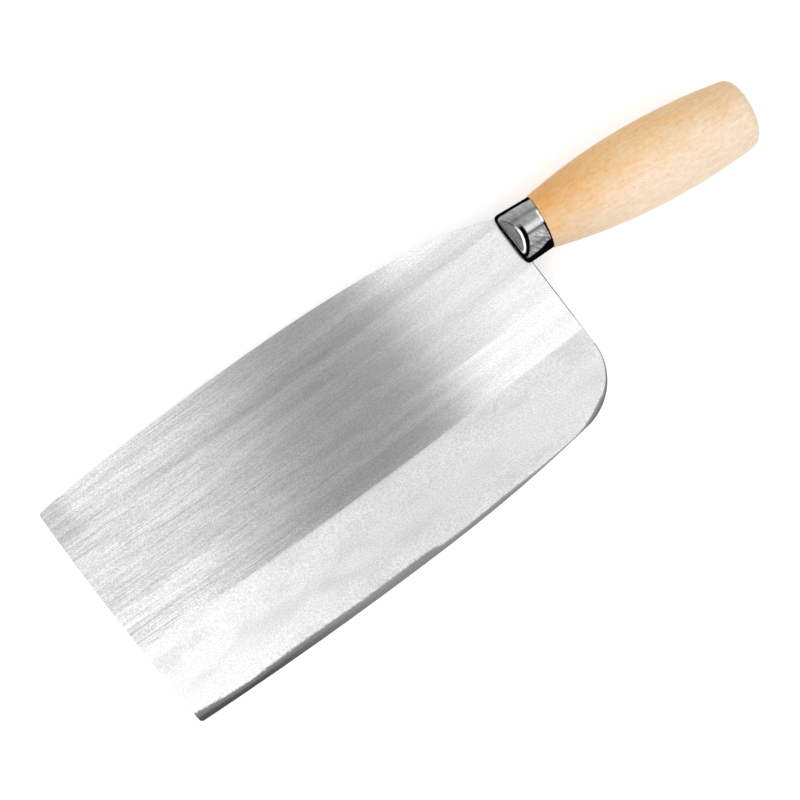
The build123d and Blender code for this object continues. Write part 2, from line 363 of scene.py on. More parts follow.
height = add(tree, "ShaderNodeMath", {0: grain, 1: 0.3, 2: height}, operation="MULTIPLY_ADD")
on_strip = add(tree, "ShaderNodeMapRange", {0: height, 1: 1.3, 2: 0.95}, **SMOOTH)
# Painted dark reflection: the strip's greys are palest midway along the edge, and darkest in front
# and round the heel.
paler_strip = add(tree, "ShaderNodeMapRange", {0: axes.outputs["X"], 1: -195.0, 2: -110.0}, **SMOOTH)
corner = add(
    tree,
    "ShaderNodeMapRange",
    {0: axes.outputs["X"], 1: -32.0, 2: -18.0, 3: 1.0, 4: 0.35},
    **SMOOTH,
)
paler_strip = add(tree, "ShaderNodeMath", {0: paler_strip, 1: corner}, operation="MULTIPLY")
upper = add(
    tree,
    "ShaderNodeMix",
    {"Factor": paler_strip, "A": linear("#6b6b6c"), "B": linear("#9b9b9c")},
    **BLEND,
)
lower = add(
    tree,
    "ShaderNodeMix",
    {"Factor": paler_strip, "A": linear("#424243"), "B": linear("#8c8c8d")},
    **BLEND,
)
strip_reflection = add(tree, "ShaderNodeMapRange", {0: height, 1: 0.85, 2: 0.45}, **SMOOTH)
strip_reflection = add(tree, "ShaderNodeMix", {"Factor": strip_reflection, "A": upper, "B": lower}, **BLEND)
colour = add(tree, "ShaderNodeMix", {"Factor": on_strip, "A": colour, "B": strip_reflection}, **BLEND)

# Painted shade: a thin line along the plate's end at the heel, by the cup, is painted near black,
# for the shade and dark reflection of its eased edge.
heel_painted_shade = add(tree, "ShaderNodeMapRange", {0: axes.outputs["X"], 1: -0.45, 2: -0.2}, **SMOOTH)
heel_painted_shade = add(
    tree,
    "ShaderNodeMath",
    {
        0: heel_painted_shade,
        1: add(tree, "ShaderNodeMapRange", {0: axes.outputs["Y"], 1: -84.0, 2: -60.0}, **SMOOTH),
    },
    operation="MULTIPLY",
)
colour = add(
    tree, "ShaderNodeMix", {"Factor": heel_painted_shade, "A": colour, "B": linear("#2b2a2b")}, **BLEND
)
rough = add(tree, "ShaderNodeMapRange", {0: broad, 1: 0.3, 2: 0.7, 3: 0.215, 4: 0.228}, **SMOOTH)
blasted = add(tree, "ShaderNodeMapRange", {0: blast, 3: 0.455, 4: 0.5})
rough = add(tree, "ShaderNodeMix", {"Factor": on_bevel, "A": rough, "B": blasted})
rough = add(tree, "ShaderNodeMix", {"Factor": on_strip, "A": rough, "B": 0.32})
relief = add(tree, "ShaderNodeMix", {"Factor": on_bevel, "A": fine, "B": grain})
cut = add(tree, "ShaderNodeMath", {0: depth, 1: 0.22}, operation="MULTIPLY")
bump = add(tree, "ShaderNodeBump", {"Strength": cut, "Distance": 0.02 * MM, "Height": relief})
across = add(tree, "ShaderNodeCombineXYZ", {"Y": 1.0})
shader = add(
    tree,
    "ShaderNodeBsdfPrincipled",
    {
        "Base Color": colour,
        "Metallic": 1.0,
        "Roughness": rough,
        "Anisotropic": 0.85,
        "Tangent": across,
        "Normal": bump,
    },
)
tree.links.new(shader.outputs[0], out.inputs["Surface"])
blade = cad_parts["blade"]
blade.material_slots[0].material = brushed_steel

# --------------------------------------------------------------------------------------------------
# Tang. A round bar of drawn mild steel, slotted over the tab behind the heel and welded to it. It
# runs through the handle, and its other end is hammered over the washer.
# --------------------------------------------------------------------------------------------------


# The middle of the cup's back rim, in mm, and how far the cup and the handle droop, in degrees.
CUP_RIM = (12.2, -29.3, 0)
CUP_DROOP, HANDLE_DROOP = 4.9, 8.8


def axis_frame(droop):
    """A frame at the middle of the cup's back rim, its X towards the butt and down by droop."""
    turn = Matrix.Rotation(-radians(droop), 4, "Z")
    return knife @ Matrix.Translation(Vector(CUP_RIM) * MM) @ turn


cup_axis = axis_frame(CUP_DROOP)
handle_axis = axis_frame(HANDLE_DROOP)

# Mild steel, drawn through a die and hammered at its end. The eye sees a grey satin skin, and
# shallow dents with brighter rims where the hammer struck.
drawn_steel, tree, out = finish_of("drawn_mild_steel")
place = millimetres(tree, handle_axis)
scale_and_painted_dark = add(tree, "ShaderNodeTexNoise", {"Vector": place, "Scale": 0.6, "Detail": 4.0})
dents = add(tree, "ShaderNodeTexVoronoi", {"Vector": place, "Scale": 0.42}, feature="SMOOTH_F1")
drawn = add(
    tree,
    "ShaderNodeMix",
    {
        "Factor": add(tree, "ShaderNodeMapRange", {0: scale_and_painted_dark, 1: 0.35, 2: 0.65}, **SMOOTH),
        "A": linear("#8c8a88"),
        "B": linear("#b9b8b6"),
    },
    **BLEND,
)
wear_and_highlight_breaks = add(tree, "ShaderNodeMapRange", {0: dents, 1: 0.25, 2: 0.75, 3: 1.0, 4: 0.78}, **SMOOTH)
drawn = add(tree, "ShaderNodeMix", {"Factor": 1.0, "A": drawn, "B": wear_and_highlight_breaks}, **TINT)
rough = add(tree, "ShaderNodeMapRange", {0: scale_and_painted_dark, 1: 0.35, 2: 0.65, 3: 0.45, 4: 0.3}, **SMOOTH)
bump = add(
    tree, "ShaderNodeBump", {"Strength": 0.8, "Distance": 0.25 * MM, "Height": dents}, invert=True
)
shader = add(
    tree,
    "ShaderNodeBsdfPrincipled",
    {"Base Color": drawn, "Metallic": 1.0, "Roughness": rough, "Normal": bump},
)
tree.links.new(shader.outputs[0], out.inputs["Surface"])
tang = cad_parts["tang_rod"]
tang.material_slots[0].material = drawn_steel

# --------------------------------------------------------------------------------------------------
# Weld. Four short beads join the tab to the bar, left as welded because the cup and the resin hide
# them for good.
# --------------------------------------------------------------------------------------------------

# Weld metal, left as it cooled. The eye would see a dark, half matt bead with ripples across it.
weld_metal, tree, out = finish_of("weld_metal")
place = millimetres(tree, handle_axis)
ripples = add(
    tree,
    "ShaderNodeTexWave",
    {"Vector": place, "Scale": 0.35, "Distortion": 2.0, "Detail": 2.0},
    bands_direction="X",
)
scorched = add(
    tree,
    "ShaderNodeMix",
    {"Factor": ripples, "A": linear("#4a4644"), "B": linear("#8a8683")},
    **BLEND,
)
bump = add(tree, "ShaderNodeBump", {"Strength": 0.7, "Distance": 0.2 * MM, "Height": ripples})
shader = add(
    tree,
    "ShaderNodeBsdfPrincipled",
    {"Base Color": scorched, "Metallic": 1.0, "Roughness": 0.5, "Normal": bump},
)
tree.links.new(shader.outputs[0], out.inputs["Surface"])
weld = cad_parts["tang_weld"]
weld.material_slots[0].material = weld_metal

# --------------------------------------------------------------------------------------------------
# Ferrule. A cup pressed from thin stainless sheet, slotted across its front to straddle the heel,
# with a slanted flat pressed into each side. Its top is polished by hand. Its front wall is painted
# black as painted shadow, and its flanks are painted black as a painted dark reflection.
# --------------------------------------------------------------------------------------------------

FRONT_WALL = -2.0
FLAT_POINT = (-2.0, -27.354, 8.335)
FLAT_SLANT = radians(47.34)
FLAT_ROLL = radians(5.0)

# Stainless sheet, pressed and then polished by hand. The eye sees an uneven shine with short
# crossed scratches, drawn coarser than they are so that they show. Painted shadow, painted
# reflections and painted highlights are put into its colour.
pressed_steel, tree, out = finish_of("pressed_stainless_steel")
in_knife = millimetres(tree, knife)
place = millimetres(tree, cup_axis)
axes = add(tree, "ShaderNodeSeparateXYZ", {0: place})
knife_axes = add(tree, "ShaderNodeSeparateXYZ", {0: in_knife})
height = add(tree, "ShaderNodeMath", {0: knife_axes.outputs["Z"]}, operation="ABSOLUTE")

# How far a point lies under the slanted flat, on either side of the cup, in mm.
folded = add(
    tree,
    "ShaderNodeCombineXYZ",
    {"X": knife_axes.outputs["X"], "Y": knife_axes.outputs["Y"], "Z": height},
)
from_flat = add(tree, "ShaderNodeVectorMath", {0: folded, 1: FLAT_POINT}, operation="SUBTRACT")
facing = (-sin(FLAT_SLANT), cos(FLAT_SLANT) * sin(FLAT_ROLL), cos(FLAT_SLANT) * cos(FLAT_ROLL))
under_flat = add(tree, "ShaderNodeVectorMath", {0: from_flat, 1: facing}, operation="DOT_PRODUCT")
under_flat = under_flat.outputs["Value"]

# Round the cup from its top: positive on the spine's side.
aside = add(tree, "ShaderNodeMath", {0: axes.outputs["Y"], 1: height}, operation="ARCTAN2")
rubbed = add(
    tree,
    "ShaderNodeCombineXYZ",
    {
        "X": add(tree, "ShaderNodeMath", {0: aside, 1: 11.5}, operation="MULTIPLY"),
        "Y": axes.outputs["X"],
    },
)
crossed = add(
    tree, "ShaderNodeVectorRotate", {"Vector": rubbed, "Angle": 0.6}, rotation_type="Z_AXIS"
)
hand_marks = streaks(tree, crossed, 2.4, 0.8, 3.0, 4.2)
patches = streaks(tree, rubbed, 4.0, 3.0, 2.0, 9.6)
rough_half = add(tree, "ShaderNodeMapRange", {0: aside, 1: -0.16, 2: -0.3}, **SMOOTH)
soft = add(tree, "ShaderNodeMapRange", {0: hand_marks, 1: 0.3, 2: 0.7, 3: 0.68, 4: 0.76}, **SMOOTH)
harsh = add(tree, "ShaderNodeMapRange", {0: hand_marks, 1: 0.34, 2: 0.66, 3: 0.4, 4: 1.0}, **SMOOTH)
marks = add(tree, "ShaderNodeMix", {"Factor": rough_half, "A": soft, "B": harsh})
polish = add(
    tree,
    "ShaderNodeMix",
    {
        "Factor": add(tree, "ShaderNodeMapRange", {0: patches, 1: 0.3, 2: 0.7}, **SMOOTH),
        "A": linear("#a3a2a4"),
        "B": linear("#bfc1c1"),
    },
    **BLEND,
)
polish = add(tree, "ShaderNodeMix", {"Factor": 1.0, "A": polish, "B": marks}, **TINT)

# A painted highlight runs along the top, and a painted dark band, standing for a dark reflection,
# lies below it.
painted_top_highlight = add(tree, "ShaderNodeMapRange", {0: aside, 1: -0.14, 2: -0.04}, **SMOOTH)
painted_top_highlight = add(
    tree,
    "ShaderNodeMath",
    {0: painted_top_highlight, 1: add(tree, "ShaderNodeMapRange", {0: aside, 1: 0.28, 2: 0.0}, **SMOOTH)},
    operation="MULTIPLY",
)
polish = add(tree, "ShaderNodeMix", {"Factor": painted_top_highlight, "A": polish, "B": linear("#d2d3d4")}, **BLEND)
# Painted dark reflection: the dull band below the top.
lane = add(tree, "ShaderNodeMapRange", {0: aside, 1: -0.11, 2: -0.16}, **SMOOTH)
lane = add(
    tree,
    "ShaderNodeMath",
    {0: lane, 1: add(tree, "ShaderNodeMapRange", {0: aside, 1: -0.28, 2: -0.18}, **SMOOTH)},
    operation="MULTIPLY",
)
polish = add(tree, "ShaderNodeMix", {"Factor": lane, "A": polish, "B": linear("#625f60")}, **BLEND)
# Painted reflection: the flat's dark greys stand for the dim reflection it catches, over its real
# pressing streaks.
on_flat = add(tree, "ShaderNodeMapRange", {0: under_flat, 1: -0.35, 2: -0.15}, **SMOOTH)
flat_streaks_and_reflection = add(
    tree,
    "ShaderNodeMapRange",
    {0: streaks(tree, in_knife, 0.9, 5.0, 2.0, 6.6), 1: 0.3, 2: 0.7},
    **SMOOTH,
)
flat_streaks_and_reflection = add(
    tree,
    "ShaderNodeMix",
    {"Factor": flat_streaks_and_reflection, "A": linear("#656565"), "B": linear("#838382")},
    **BLEND,
)
polish = add(tree, "ShaderNodeMix", {"Factor": on_flat, "A": polish, "B": flat_streaks_and_reflection}, **BLEND)

# A painted highlight runs along the flat's rim on its lower part, and a painted dark reflection
# lies in the crease just outside it.
rim_in = add(tree, "ShaderNodeMapRange", {0: under_flat, 1: -0.85, 2: -0.6}, **SMOOTH)
rim_out = add(tree, "ShaderNodeMapRange", {0: under_flat, 1: -0.05, 2: -0.25}, **SMOOTH)
crease_in = add(tree, "ShaderNodeMapRange", {0: under_flat, 1: -2.5, 2: -2.0}, **SMOOTH)
crease_out = add(tree, "ShaderNodeMapRange", {0: under_flat, 1: -0.8, 2: -1.0}, **SMOOTH)
lower_part = add(tree, "ShaderNodeMapRange", {0: aside, 1: 0.36, 2: 0.12}, **SMOOTH)
painted_rim_highlight = add(tree, "ShaderNodeMath", {0: rim_in, 1: rim_out}, operation="MULTIPLY")
painted_rim_highlight = add(tree, "ShaderNodeMath", {0: painted_rim_highlight, 1: lower_part}, operation="MULTIPLY")
painted_crease_dark = add(tree, "ShaderNodeMath", {0: crease_in, 1: crease_out}, operation="MULTIPLY")
painted_crease_dark = add(tree, "ShaderNodeMath", {0: painted_crease_dark, 1: lower_part}, operation="MULTIPLY")
polish = add(tree, "ShaderNodeMix", {"Factor": painted_rim_highlight, "A": polish, "B": linear("#ffffff")}, **BLEND)
# Higher up, the flat's rim is painted dark instead: a painted dark reflection.
fold_in = add(tree, "ShaderNodeMapRange", {0: under_flat, 1: -0.7, 2: -0.5}, **SMOOTH)
fold_out = add(tree, "ShaderNodeMapRange", {0: under_flat, 1: -0.1, 2: -0.3}, **SMOOTH)
painted_rim_dark = add(tree, "ShaderNodeMath", {0: fold_in, 1: fold_out}, operation="MULTIPLY")
painted_rim_dark = add(
    tree,
    "ShaderNodeMath",
    {
        0: painted_rim_dark,
        1: add(tree, "ShaderNodeMapRange", {0: aside, 1: 0.2, 2: 0.4, 3: 0.0, 4: 0.8}, **SMOOTH),
    },
    operation="MULTIPLY",
)
polish = add(tree, "ShaderNodeMix", {"Factor": painted_rim_dark, "A": polish, "B": linear("#4c4b4c")}, **BLEND)

# Painted black: all of the front wall as painted shadow, and both flanks under a wandering line
# as painted dark reflection.
wander = streaks(tree, rubbed, 6.0, 5.0, 2.0, 2.7)
deepest = add(
    tree, "ShaderNodeMapRange", {0: axes.outputs["X"], 1: -13.0, 2: 0.0, 3: 5.6, 4: 7.4}, **SMOOTH
)
edge_height = add(
    tree,
    "ShaderNodeMix",
    {
        "Factor": add(tree, "ShaderNodeMapRange", {0: aside, 1: -0.2, 2: 0.2}, **SMOOTH),
        "A": deepest,
        "B": 5.5,
    },
)
ragged = add(tree, "ShaderNodeMath", {0: wander, 1: 1.6, 2: edge_height}, operation="MULTIPLY_ADD")
bare = add(tree, "ShaderNodeMath", {0: height, 1: ragged}, operation="SUBTRACT")
on_flank = add(tree, "ShaderNodeMapRange", {0: bare, 1: 0.0, 2: -0.7}, **SMOOTH)
on_front = add(
    tree,
    "ShaderNodeMapRange",
    {0: knife_axes.outputs["X"], 1: FRONT_WALL + 0.5, 2: FRONT_WALL + 0.1},
    **SMOOTH,
)
# The front wall's painted shadow is full beside the blade and fades above 4 mm.
shadow_fades_higher = add(tree, "ShaderNodeMapRange", {0: height, 1: 4.2, 2: 5.2, 3: 1.0, 4: 0.35}, **SMOOTH)
on_front = add(tree, "ShaderNodeMath", {0: on_front, 1: shadow_fades_higher}, operation="MULTIPLY")
scale_and_painted_dark = add(tree, "ShaderNodeMath", {0: on_flank, 1: on_front}, operation="MAXIMUM")
scale_and_painted_dark = add(tree, "ShaderNodeMath", {0: scale_and_painted_dark, 1: painted_crease_dark}, operation="MAXIMUM")

# Painted highlight: the turned edge at the back is painted white on top and towards the spine,
# broken into dashes. Below, painted shade darkens its gap.
back_edge = add(tree, "ShaderNodeMapRange", {0: axes.outputs["X"], 1: -1.25, 2: -0.8}, **SMOOTH)
wear_and_highlight_breaks = add(
    tree,
    "ShaderNodeMapRange",
    {0: streaks(tree, rubbed, 1.6, 3.0, 2.0, 7.7), 1: 0.32, 2: 0.46},
    **SMOOTH,
)
painted_edge_highlight = add(
    tree,
    "ShaderNodeMath",
    {0: back_edge, 1: add(tree, "ShaderNodeMapRange", {0: aside, 1: -0.1, 2: 0.0}, **SMOOTH)},
    operation="MULTIPLY",
)
painted_edge_highlight = add(
    tree,
    "ShaderNodeMath",
    {0: painted_edge_highlight, 1: add(tree, "ShaderNodeMapRange", {0: aside, 1: 0.46, 2: 0.3}, **SMOOTH)},
    operation="MULTIPLY",
)
painted_edge_highlight = add(tree, "ShaderNodeMath", {0: painted_edge_highlight, 1: wear_and_highlight_breaks}, operation="MULTIPLY")
polish = add(
    tree, "ShaderNodeMix", {"Factor": painted_edge_highlight, "A": polish, "B": linear("#ffffff")}, **BLEND
)
painted_gap_shade = add(
    tree,
    "ShaderNodeMath",
    {0: back_edge, 1: add(tree, "ShaderNodeMapRange", {0: aside, 1: -0.06, 2: -0.16}, **SMOOTH)},
    operation="MULTIPLY",
)
scale_and_painted_dark = add(tree, "ShaderNodeMath", {0: scale_and_painted_dark, 1: painted_gap_shade}, operation="MAXIMUM")
# The painted shadow and painted dark reflections are near black.
colour = add(tree, "ShaderNodeMix", {"Factor": scale_and_painted_dark, "A": polish, "B": linear("#0a0808")}, **BLEND)
metal = add(tree, "ShaderNodeMath", {0: 1.0, 1: scale_and_painted_dark}, operation="SUBTRACT")
smooth = add(tree, "ShaderNodeMapRange", {0: hand_marks, 1: 0.3, 2: 0.7, 3: 0.3, 4: 0.2}, **SMOOTH)
rough = add(tree, "ShaderNodeMix", {"Factor": scale_and_painted_dark, "A": smooth, "B": 0.55})
bump = add(tree, "ShaderNodeBump", {"Strength": 0.35, "Distance": 0.06 * MM, "Height": marks})
shader = add(
    tree,
    "ShaderNodeBsdfPrincipled",
    {
        "Base Color": colour,
        "Metallic": metal,
        "Roughness": rough,
        "Specular IOR Level": 0.0,
        "Normal": bump,
    },
)
tree.links.new(shader.outputs[0], out.inputs["Surface"])
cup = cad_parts["ferrule_cup"]
cup.material_slots[0].material = pressed_steel

# --------------------------------------------------------------------------------------------------
# Bedding. Dark resin poured into the cup round the neck, the weld and the bar. It glues them
# together, and only its skin shows in the slot beside the blade.
# --------------------------------------------------------------------------------------------------

# Epoxy resin with a brown filler, cast in place. The eye sees a dark, faintly lumpy, half glossy
# skin.
epoxy, tree, out = finish_of("filled_epoxy_resin")
place = millimetres(tree, cup_axis)
filler = add(tree, "ShaderNodeTexNoise", {"Vector": place, "Scale": 1.3, "Detail": 3.0})
brown = add(
    tree,
    "ShaderNodeMix",
    {"Factor": filler, "A": linear("#3a2413"), "B": linear("#6b4a2a")},
    **BLEND,
)
bump = add(tree, "ShaderNodeBump", {"Strength": 0.4, "Distance": 0.1 * MM, "Height": filler})
shader = add(
    tree,
    "ShaderNodeBsdfPrincipled",
    {"Base Color": brown, "Roughness": 0.35, "IOR": 1.55, "Normal": bump},
)
tree.links.new(shader.outputs[0], out.inputs["Surface"])
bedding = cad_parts["ferrule_bedding"]
bedding.material_slots[0].material = epoxy

# --------------------------------------------------------------------------------------------------
# Handle. A barrel of pale hardwood, turned on a lathe with a spigot for the cup, bored through for
# the bar, recessed at the butt for the washer, sanded, and given one thin clear coat.
# --------------------------------------------------------------------------------------------------

# The turner's template, in mm along the handle and out from its axis.
SHOULDER = 0.05
NECK_RADIUS = 11.65
NECK_EASE = 0.4
BELLY_AT, BELLY_RADIUS = 52.0, 17.5
BUTT_RIM, BUTT_RADIUS = 91.4, 14.55
BUTT_ROUNDING = 4.5
TIP = 94.4
SPIGOT_LENGTH, SPIGOT_RADIUS, SPIGOT_SWELL = 5.45, 10.05, 0.19
BORE_RADIUS = 3.5
SEAT, RECESS_RADIUS = 90.4, 8.5


def meet(first, second):
    """The crossing of two circles nearer the butt, each given as its centre and its radius."""
    ((ax, ay), a_radius), ((bx, by), b_radius) = first, second
    apart = hypot(bx - ax, by - ay)
    along = (a_radius**2 - b_radius**2 + apart**2) / (2 * apart)
    out_by = sqrt(a_radius**2 - along**2)
    x, y = (bx - ax) / apart, (by - ay) / apart
    foot = (ax + along * x, ay + along * y)
    return max((foot[0] - side * y, foot[1] + side * x) for side in (out_by, -out_by))


def pushed(centre, through, radius):
    """The point of a circle that lies in the direction of another point."""
    reach = hypot(through[0] - centre[0], through[1] - centre[1])
    return tuple(c + (t - c) * radius / reach for c, t in zip(centre, through))


def arc(centre, start, end, step):
    """Points on the short arc round a centre, from start to just before end, a step apart."""
    radius = hypot(start[0] - centre[0], start[1] - centre[1])
    first, last = (atan2(p[1] - centre[1], p[0] - centre[0]) for p in (start, end))
    count = ceil(radius * abs(last - first) / step)
    angles = [first + (last - first) * i / count for i in range(count)]
    return [(centre[0] + radius * cos(a), centre[1] + radius * sin(a)) for a in angles]


def straight(start, end, step):
    """Points along a straight run, from start to just before end."""
    count = max(1, round(hypot(end[0] - start[0], end[1] - start[1]) / step))
    return [tuple(s + (e - s) * i / count for s, e in zip(start, end)) for i in range(count)]


fore_swell, aft_swell = BELLY_RADIUS - NECK_RADIUS, BELLY_RADIUS - BUTT_RADIUS
fore_radius = ((BELLY_AT - SHOULDER) ** 2 + fore_swell**2) / (2 * fore_swell)
aft_radius = ((BUTT_RIM - BELLY_AT) ** 2 + aft_swell**2) / (2 * aft_swell)
dome_rise = TIP - BUTT_RIM
dome_radius = (BUTT_RADIUS**2 + dome_rise**2) / (2 * dome_rise)
fore_centre = (BELLY_AT, BELLY_RADIUS - fore_radius)
aft_centre = (BELLY_AT, BELLY_RADIUS - aft_radius)
dome_centre = (TIP - dome_radius, 0.0)

ease_at = SHOULDER + NECK_EASE
ease_centre = (
    ease_at,
    fore_centre[1] + sqrt((fore_radius - NECK_EASE) ** 2 - (ease_at - BELLY_AT) ** 2),
)
rounding_centre = meet(
    (aft_centre, aft_radius - BUTT_ROUNDING),
    (dome_centre, dome_radius - BUTT_ROUNDING),
)
shoulder_out = (SHOULDER, ease_centre[1])
fore_start = pushed(fore_centre, ease_centre, fore_radius)
aft_end = pushed(aft_centre, rounding_centre, aft_radius)
dome_start = pushed(dome_centre, rounding_centre, dome_radius)
dome_end = (dome_centre[0] + sqrt(dome_radius**2 - RECESS_RADIUS**2), RECESS_RADIUS)

template = (
    straight((-SPIGOT_LENGTH, BORE_RADIUS), (-SPIGOT_LENGTH, SPIGOT_RADIUS + SPIGOT_SWELL), 7.0)
    + straight((-SPIGOT_LENGTH, SPIGOT_RADIUS + SPIGOT_SWELL), (SHOULDER, SPIGOT_RADIUS), 2.0)
    + straight((SHOULDER, SPIGOT_RADIUS), shoulder_out, 1.0)
    + arc(ease_centre, shoulder_out, fore_start, 0.1)
    + arc(fore_centre, fore_start, (BELLY_AT, BELLY_RADIUS), 1.2)
    + arc(aft_centre, (BELLY_AT, BELLY_RADIUS), aft_end, 1.2)
    + arc(rounding_centre, aft_end, dome_start, 0.4)
    + arc(dome_centre, dome_start, dome_end, 1.0)
    + straight(dome_end, (SEAT, RECESS_RADIUS), 4.0)
    + straight((SEAT, RECESS_RADIUS), (SEAT, BORE_RADIUS), 5.0)
    + straight((SEAT, BORE_RADIUS), (-SPIGOT_LENGTH, BORE_RADIUS), 12.0)
    + [(-SPIGOT_LENGTH, BORE_RADIUS)]
)

# Beech, sanded and clear coated. The eye sees pale fibres along the handle, a mottle of straw and
# pink, and a soft satin gloss. Beech's flecks are about 0.1 mm wide, and are drawn three times as
# wide.
beech, tree, out = finish_of("clear_coated_beech")
place = millimetres(tree, handle_axis)
axes = add(tree, "ShaderNodeSeparateXYZ", {0: place})
fibres = streaks(tree, place, 16.0, 1.1, 3.0, 6.1)
figure = streaks(tree, place, 12.0, 6.0, 3.0, 1.8)
mottle = streaks(tree, place, 2.4, 1.5, 3.0, 11.2)
pores = streaks(tree, place, 1.1, 0.34, 1.5, 3.9)

# The side towards the spine and the neck is more orange than the other: the wood's own figure,
# with painted warm shade on the spine's side. Towards the cup the wood is darker and more orange.
from_neck = add(
    tree,
    "ShaderNodeMath",
    {0: axes.outputs["X"], 1: -0.12, 2: axes.outputs["Y"]},
    operation="MULTIPLY_ADD",
)
drift = add(tree, "ShaderNodeMath", {0: figure, 1: 26.0, 2: from_neck}, operation="MULTIPLY_ADD")
figure_and_warm_shade = add(tree, "ShaderNodeMapRange", {0: drift, 1: -4.0, 2: 24.0}, **SMOOTH)
colour = add(
    tree,
    "ShaderNodeMix",
    {"Factor": figure_and_warm_shade, "A": linear("#ffebd7"), "B": linear("#ffd698")},
    **BLEND,
)
towards_cup = add(tree, "ShaderNodeMapRange", {0: axes.outputs["X"], 1: 44.0, 2: 0.0}, **SMOOTH)
amber = add(
    tree,
    "ShaderNodeMix",
    {"Factor": figure_and_warm_shade, "A": linear("#efe9dc"), "B": linear("#f7debb")},
    **BLEND,
)
colour = add(tree, "ShaderNodeMix", {"Factor": towards_cup, "A": colour, "B": amber}, **TINT)
for mark, low, high, dark in (
    (fibres, 0.3, 0.7, "#fbf5ec"),
    (mottle, 0.3, 0.66, "#faf2e6"),
    (pores, 0.26, 0.33, "#d8c2a8"),
):
    shade = add(
        tree,
        "ShaderNodeMix",
        {
            "Factor": add(tree, "ShaderNodeMapRange", {0: mark, 1: low, 2: high}, **SMOOTH),
            "A": linear(dark),
            "B": linear("#ffffff"),
        },
        **BLEND,
    )
    colour = add(tree, "ShaderNodeMix", {"Factor": 1.0, "A": colour, "B": shade}, **TINT)
relief = add(
    tree,
    "ShaderNodeMath",
    {0: fibres, 1: 0.4, 2: add(tree, "ShaderNodeMapRange", {0: pores, 1: 0.27, 2: 0.36}, **SMOOTH)},
    operation="MULTIPLY_ADD",
)
bump = add(tree, "ShaderNodeBump", {"Strength": 0.35, "Distance": 0.05 * MM, "Height": relief})
rough = add(tree, "ShaderNodeMapRange", {0: mottle, 1: 0.3, 2: 0.7, 3: 0.6, 4: 0.5}, **SMOOTH)
shader = add(
    tree,
    "ShaderNodeBsdfPrincipled",
    {
        "Base Color": colour,
        "Roughness": rough,
        "IOR": 1.5,
        "Coat Weight": 0.2,
        "Coat Roughness": 0.3,
        "Normal": bump,
    },
)
tree.links.new(shader.outputs[0], out.inputs["Surface"])

# The lathe: it spins a template, taken in as one line of points, round the X axis.
lathe = bpy.data.node_groups.new("lathe", "GeometryNodeTree")
for name, kind, value in (
    ("Template", "NodeSocketGeometry", None),
    ("Segments", "NodeSocketInt", 144),
    ("Sanding Depth", "NodeSocketFloat", 0.08),
    ("Sanding Spacing", "NodeSocketFloat", 15.0),
    ("Spigot Lean", "NodeSocketFloat", 0.0),
    ("Seed", "NodeSocketFloat", 0.0),
    ("Finish", "NodeSocketMaterial", None),
):
    socket = lathe.interface.new_socket(name, in_out="INPUT", socket_type=kind)
    if value is not None:
        socket.default_value = value
lathe.interface.new_socket("Turned", in_out="OUTPUT", socket_type="NodeSocketGeometry")
given = add(lathe, "NodeGroupInput").outputs
size = add(
    lathe, "GeometryNodeAttributeDomainSize", {"Geometry": given["Template"]}, component="MESH"
)
count = size.outputs["Point Count"]
rows = add(lathe, "ShaderNodeMath", {0: given["Segments"], 1: 1.0}, operation="ADD")
grid = add(
    lathe,
    "GeometryNodeMeshGrid",
    {"Size X": 1.0, "Size Y": 1.0, "Vertices X": rows, "Vertices Y": count},
)
spot = add(lathe, "ShaderNodeSeparateXYZ", {0: add(lathe, "GeometryNodeInputPosition")})
last = add(lathe, "ShaderNodeMath", {0: count, 1: 1.0}, operation="SUBTRACT")
share = add(lathe, "ShaderNodeMath", {0: spot.outputs["Y"], 1: 0.5}, operation="ADD")
number = add(lathe, "ShaderNodeMath", {0: share, 1: last}, operation="MULTIPLY")
number = add(lathe, "ShaderNodeMath", {0: number}, operation="ROUND")
sample = add(
    lathe,
    "GeometryNodeSampleIndex",
    {
        "Geometry": given["Template"],
        "Value": add(lathe, "GeometryNodeInputPosition"),
        "Index": number,
    },
    data_type="FLOAT_VECTOR",
    domain="POINT",
)
point = add(lathe, "ShaderNodeSeparateXYZ", {0: sample})
turn = add(lathe, "ShaderNodeMath", {0: spot.outputs["X"], 1: 2 * pi}, operation="MULTIPLY")
sideways = add(lathe, "ShaderNodeMath", {0: turn}, operation="SINE")
upwards = add(lathe, "ShaderNodeMath", {0: turn}, operation="COSINE")
round_it = add(lathe, "ShaderNodeCombineXYZ", {"Y": sideways, "Z": upwards})

# Sanding takes off a little more here and there, only outside the shoulder and never outwards.
reach = add(
    lathe, "ShaderNodeVectorMath", {0: round_it, "Scale": point.outputs["Y"]}, operation="SCALE"
)
where = add(lathe, "ShaderNodeCombineXYZ", {"X": point.outputs["X"]})
where = add(lathe, "ShaderNodeVectorMath", {0: where, 1: reach}, operation="ADD")
where = add(
    lathe, "ShaderNodeVectorMath", {0: where, 1: given["Sanding Spacing"]}, operation="DIVIDE"
)
noise = add(
    lathe,
    "ShaderNodeTexNoise",
    {"Vector": where, "W": given["Seed"], "Scale": 1.0, "Detail": 1.0},
    noise_dimensions="4D",
)
past_neck = add(lathe, "ShaderNodeMapRange", {0: point.outputs["X"], 1: 0.5, 2: 6.0}, **SMOOTH)
outside = add(lathe, "ShaderNodeMapRange", {0: point.outputs["Y"], 1: 9.0, 2: 11.0}, **SMOOTH)
sanded = add(lathe, "ShaderNodeMath", {0: past_neck, 1: outside}, operation="MULTIPLY")
sanded = add(lathe, "ShaderNodeMath", {0: sanded, 1: noise}, operation="MULTIPLY")
sanded = add(lathe, "ShaderNodeMath", {0: sanded, 1: given["Sanding Depth"]}, operation="MULTIPLY")
radius = add(lathe, "ShaderNodeMath", {0: point.outputs["Y"], 1: sanded}, operation="SUBTRACT")

